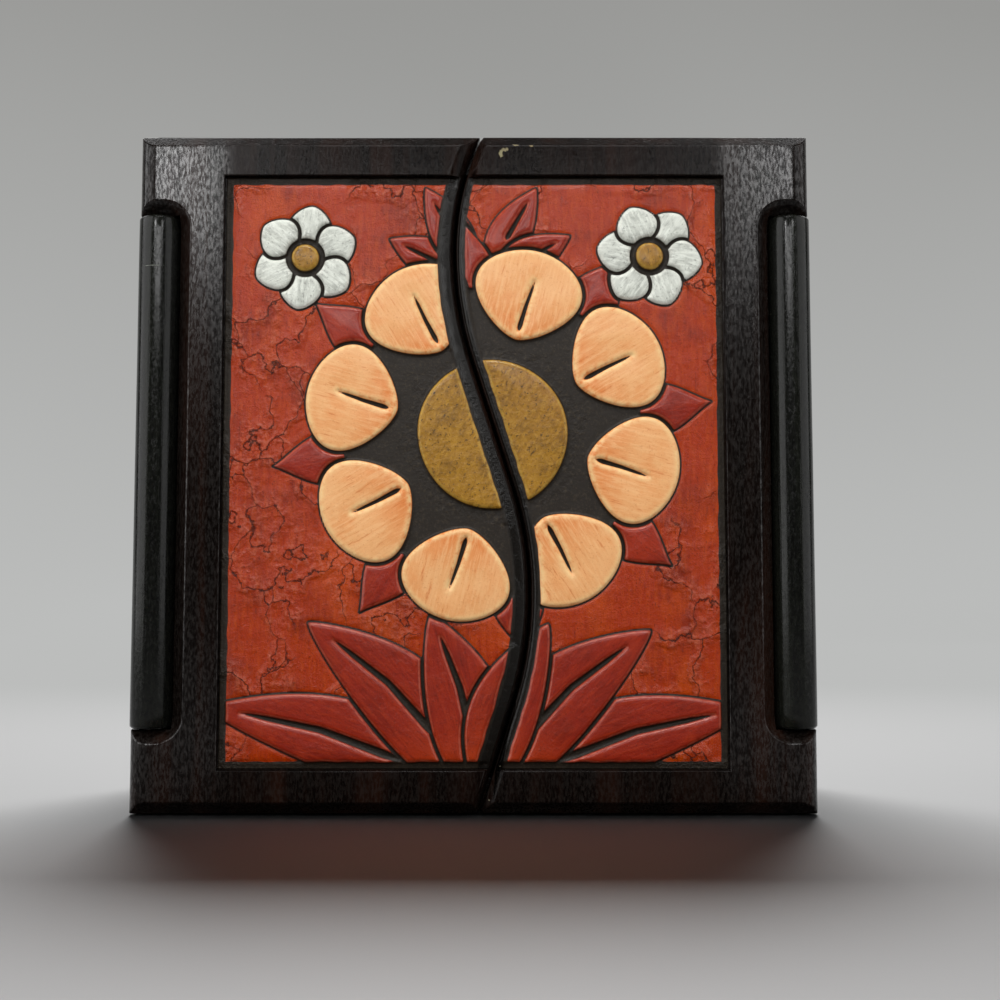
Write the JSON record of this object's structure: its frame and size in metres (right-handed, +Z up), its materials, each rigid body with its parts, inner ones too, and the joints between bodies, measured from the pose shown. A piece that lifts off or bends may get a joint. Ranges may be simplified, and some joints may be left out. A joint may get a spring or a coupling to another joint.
{
  "type": "retablo box",
  "caption": "Carved wooden box that stands upright, closed by two relief-carved doors that meet along an S-shaped split and turn on wooden knuckle hinges.",
  "frame": {"origin": "on the surface that the box stands on, under the middle of its width and of its depth", "axes": "+Z up, +X to the right of someone who faces the doors, -Y out of the doors, +Y out of the back"},
  "size_m": [0.2008, 0.0704, 0.2015],
  "materials": {
    "door_wood": "espresso black stain under semi-gloss lacquer, with a painted and carved relief in the sunk field",
    "post_wood": "black stain, satin, slightly streaked",
    "case_wood": "espresso black stain, semi-gloss lacquer",
    "back_wood": "thin panel, dark brown stain, matt",
    "steel": "plain steel wire, dull"
  },
  "bodies": {
    "case": {"left_post": "post_wood", "right_post": "post_wood", "left_side": "case_wood", "right_side": "case_wood", "top_board": "case_wood", "bottom_board": "case_wood", "back_panel": "back_wood", "back_nails": "steel"},
    "left_door": {"left_door": "door_wood", "left_top_pin": "steel", "left_bottom_pin": "steel"},
    "right_door": {"right_door": "door_wood", "right_top_pin": "steel", "right_bottom_pin": "steel"}
  },
  "joints": [
    {"name": "left_hinge", "type": "hinge", "parent": "case", "child": "left_door", "pos_m": [-0.09425, -0.02902, 0.10075], "axis": [0, 0, -1], "range_deg": [0, 180]},
    {"name": "right_hinge", "type": "hinge", "parent": "case", "child": "right_door", "pos_m": [0.09425, -0.02902, 0.10075], "axis": [0, 0, 1], "range_deg": [0, 180]}
  ]
}
